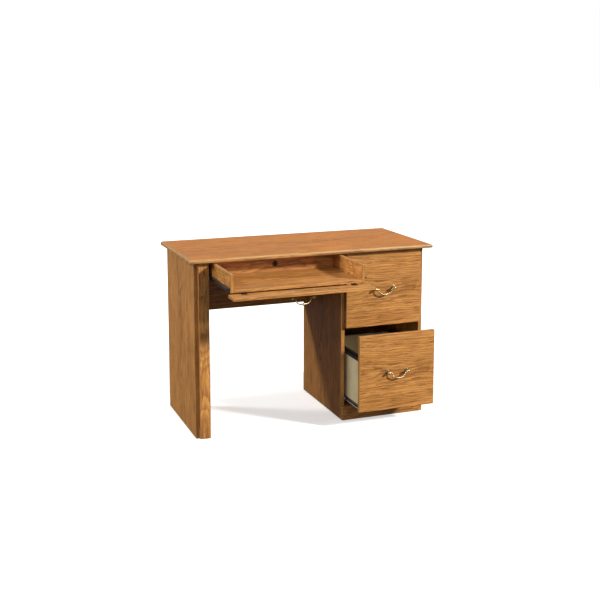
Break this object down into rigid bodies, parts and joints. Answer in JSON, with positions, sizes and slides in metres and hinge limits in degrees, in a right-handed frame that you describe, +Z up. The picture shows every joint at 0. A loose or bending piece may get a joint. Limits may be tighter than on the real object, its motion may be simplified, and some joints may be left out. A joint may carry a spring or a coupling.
{
  "type": "computer desk",
  "caption": "Single-pedestal computer desk with a pull-out keyboard tray behind a drop flap and two deep drawers, in oak laminate with swinging bail pulls.",
  "frame": {"origin": "on the floor under the middle of the whole outline, with the tray pulled out and the flap open as stored", "axes": "+X to the pedestal side (right when seated), +Y to the back, +Z up"},
  "size_m": [1.095, 0.8014, 0.762],
  "materials": {
    "oak_laminate": "satin oak-grain laminate",
    "almond_board": "smooth almond melamine",
    "hardboard": "matt hardboard",
    "tray_rail_steel": "black epoxy",
    "drawer_rail_steel": "black epoxy",
    "nylon": "matt nylon",
    "antique_brass": "antiqued and lacquered",
    "zinc_steel": "bright zinc",
    "black_steel": "black oxide",
    "black_plastic": "satin moulded",
    "glide_plastic": "matt moulded"
  },
  "bodies": {
    "desk": {"back_panel_nails": "zinc_steel", "bracket_screws": "zinc_steel", "floor_glides": "glide_plastic", "front_edge_moulding": "oak_laminate", "left_edge_moulding": "oak_laminate", "left_end_panel": "oak_laminate", "leg_back_strip": "oak_laminate", "leg_front_fascia": "oak_laminate", "leg_inner_panel": "oak_laminate", "lower_drawer_fixed_rails": "drawer_rail_steel", "modesty_panel": "oak_laminate", "pedestal_back_panel": "hardboard", "pedestal_bottom_panel": "oak_laminate", "pedestal_left_panel": "oak_laminate", "pedestal_right_panel": "oak_laminate", "pedestal_stretchers": "oak_laminate", "plinth_back": "oak_laminate", "plinth_front": "oak_laminate", "right_edge_moulding": "oak_laminate", "top_angle_brackets": "zinc_steel", "top_panel": "oak_laminate", "tray_fixed_rails": "tray_rail_steel", "upper_drawer_fixed_rails": "drawer_rail_steel"},
    "keyboard_tray": {"hinge_pins": "zinc_steel", "hinge_tray_leaves": "black_steel", "tray_back_rail": "oak_laminate", "tray_bottom_panel": "oak_laminate", "tray_left_side": "oak_laminate", "tray_moving_rails": "tray_rail_steel", "tray_right_side": "oak_laminate"},
    "flap": {"flap_panel": "oak_laminate", "flap_pull_posts": "antique_brass", "flap_pull_screws": "zinc_steel", "hinge_flap_leaves": "black_steel"},
    "flap_bail": {"flap_pull_bail": "antique_brass"},
    "upper_drawer": {"upper_drawer_back": "almond_board", "upper_drawer_bottom": "hardboard", "upper_drawer_front": "oak_laminate", "upper_drawer_left_side": "almond_board", "upper_drawer_moving_rails": "drawer_rail_steel", "upper_drawer_pull_posts": "antique_brass", "upper_drawer_pull_screws": "zinc_steel", "upper_drawer_right_side": "almond_board"},
    "upper_bail": {"upper_drawer_pull_bail": "antique_brass"},
    "lower_drawer": {"lower_drawer_back": "almond_board", "lower_drawer_bottom": "hardboard", "lower_drawer_file_rails": "black_plastic", "lower_drawer_front": "oak_laminate", "lower_drawer_left_side": "almond_board", "lower_drawer_moving_rails": "drawer_rail_steel", "lower_drawer_pull_posts": "antique_brass", "lower_drawer_pull_screws": "zinc_steel", "lower_drawer_right_side": "almond_board"},
    "lower_bail": {"lower_drawer_pull_bail": "antique_brass"},
    "lower_drawer_front_rollers": {"lower_drawer_front_rollers": "nylon"},
    "lower_drawer_rear_rollers": {"lower_drawer_rear_rollers": "nylon"},
    "tray_front_rollers": {"tray_front_rollers": "nylon"},
    "tray_rear_rollers": {"tray_rear_rollers": "nylon"},
    "upper_drawer_front_rollers": {"upper_drawer_front_rollers": "nylon"},
    "upper_drawer_rear_rollers": {"upper_drawer_rear_rollers": "nylon"}
  },
  "joints": [
    {"name": "tray_slide", "type": "slide", "parent": "desk", "child": "keyboard_tray", "axis": [0, 1, 0], "range_m": [0, 0.266]},
    {"name": "flap_hinge", "type": "hinge", "parent": "keyboard_tray", "child": "flap", "pos_m": [-0.164, -0.3243, 0.664], "axis": [-1, 0, 0], "range_deg": [0, 90]},
    {"name": "flap_bail_pivot", "type": "hinge", "parent": "flap", "child": "flap_bail", "pos_m": [-0.164, -0.3645, 0.636], "axis": [1, 0, 0], "range_deg": [-110, 110]},
    {"name": "upper_drawer_slide", "type": "slide", "parent": "desk", "child": "upper_drawer", "axis": [0, -1, 0], "range_m": [0, 0.35]},
    {"name": "upper_bail_pivot", "type": "hinge", "parent": "upper_drawer", "child": "upper_bail", "pos_m": [0.326, -0.0863, 0.578], "axis": [-1, 0, 0], "range_deg": [-28, 110]},
    {"name": "lower_drawer_slide", "type": "slide", "parent": "desk", "child": "lower_drawer", "axis": [0, -1, 0], "range_m": [-0.1406, 0.2094]},
    {"name": "lower_bail_pivot", "type": "hinge", "parent": "lower_drawer", "child": "lower_bail", "pos_m": [0.326, -0.2269, 0.245], "axis": [-1, 0, 0], "range_deg": [-28, 110]},
    {"name": "tray_front_roller_spin", "type": "hinge", "parent": "desk", "child": "tray_front_rollers", "pos_m": [-0.164, -0.0406, 0.6767], "axis": [1, 0, 0], "range_deg": [-1695.41, 2]},
    {"name": "tray_rear_roller_spin", "type": "hinge", "parent": "keyboard_tray", "child": "tray_rear_rollers", "pos_m": [-0.164, -0.0186, 0.6784], "axis": [1, 0, 0], "range_deg": [-1695.41, 2]},
    {"name": "upper_drawer_front_roller_spin", "type": "hinge", "parent": "desk", "child": "upper_drawer_front_rollers", "pos_m": [0.326, -0.0403, 0.4277], "axis": [1, 0, 0], "range_deg": [-2, 2230.17]},
    {"name": "upper_drawer_rear_roller_spin", "type": "hinge", "parent": "upper_drawer", "child": "upper_drawer_rear_rollers", "pos_m": [0.326, 0.3337, 0.4294], "axis": [1, 0, 0], "range_deg": [-2, 2230.17]},
    {"name": "lower_drawer_front_roller_spin", "type": "hinge", "parent": "desk", "child": "lower_drawer_front_rollers", "pos_m": [0.326, -0.0403, 0.0947], "axis": [1, 0, 0], "range_deg": [-897.09, 1335.08]},
    {"name": "lower_drawer_rear_roller_spin", "type": "hinge", "parent": "lower_drawer", "child": "lower_drawer_rear_rollers", "pos_m": [0.326, 0.1931, 0.0964], "axis": [1, 0, 0], "range_deg": [-897.09, 1335.08]}
  ],
  "couplings": [
    {"joint": "tray_front_roller_spin", "follows": "tray_slide", "rad_per_m": -111.11},
    {"joint": "tray_rear_roller_spin", "follows": "tray_slide", "rad_per_m": -111.11},
    {"joint": "upper_drawer_front_roller_spin", "follows": "upper_drawer_slide", "rad_per_m": 111.11},
    {"joint": "upper_drawer_rear_roller_spin", "follows": "upper_drawer_slide", "rad_per_m": 111.11},
    {"joint": "lower_drawer_front_roller_spin", "follows": "lower_drawer_slide", "rad_per_m": 111.11},
    {"joint": "lower_drawer_rear_roller_spin", "follows": "lower_drawer_slide", "rad_per_m": 111.11}
  ]
}
